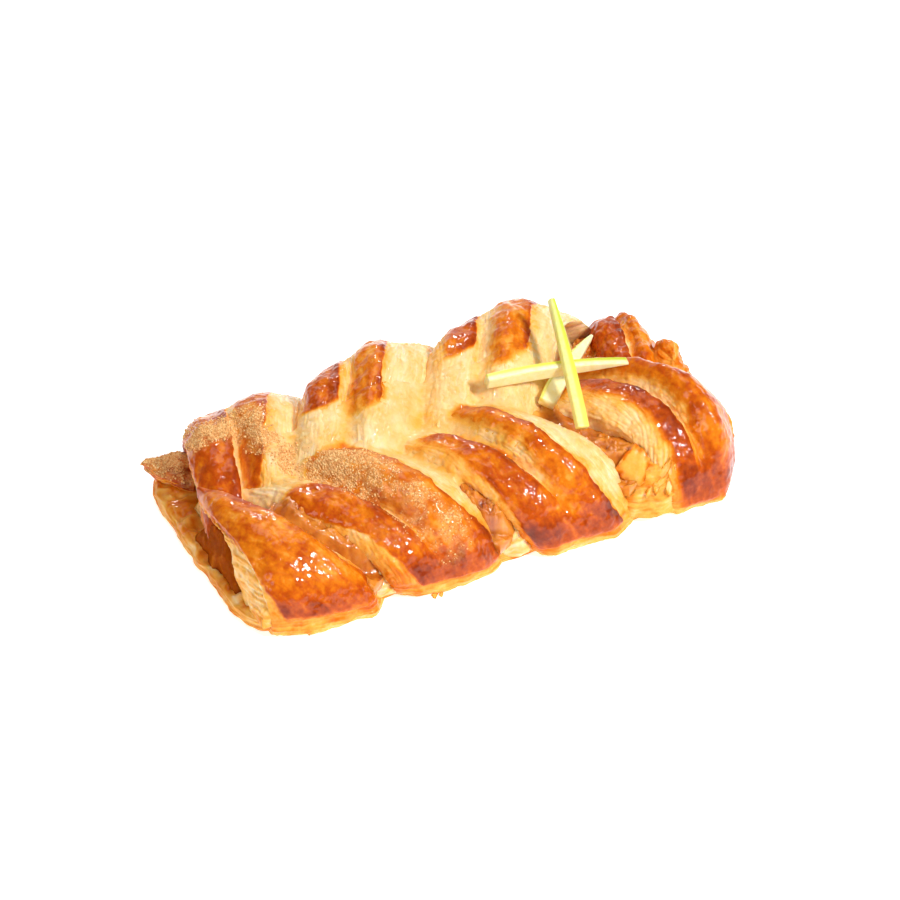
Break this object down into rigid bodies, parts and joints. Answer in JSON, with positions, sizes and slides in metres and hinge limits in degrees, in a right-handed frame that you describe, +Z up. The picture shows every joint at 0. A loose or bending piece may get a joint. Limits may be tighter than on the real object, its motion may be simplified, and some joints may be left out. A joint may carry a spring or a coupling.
{
  "type": "apple danish",
  "caption": "Plaited puff pastry loaf on a flat sheet, with slit bands crossed over a soft apple filling and raw apple matchsticks laid on top.",
  "frame": {"origin": "on the table, under the middle of the loaf's box", "axes": "+X along the loaf to its far end, -Y is the side that faces the viewer, +Z up"},
  "size_m": [0.1413, 0.078, 0.0417],
  "materials": {
    "dough": "baked puff pastry, glazed and browned on the ridges and pale on the cut edges",
    "filling": "wet amber apple compote",
    "raw_fruit": "fresh cut fruit flesh with green skin along one side"
  },
  "bodies": {
    "root": {"pastry": "dough", "apple_filling": "filling", "apple_stick_low": "raw_fruit", "apple_stick_long": "raw_fruit", "apple_stick_leaning": "raw_fruit"}
  },
  "joints": []
}
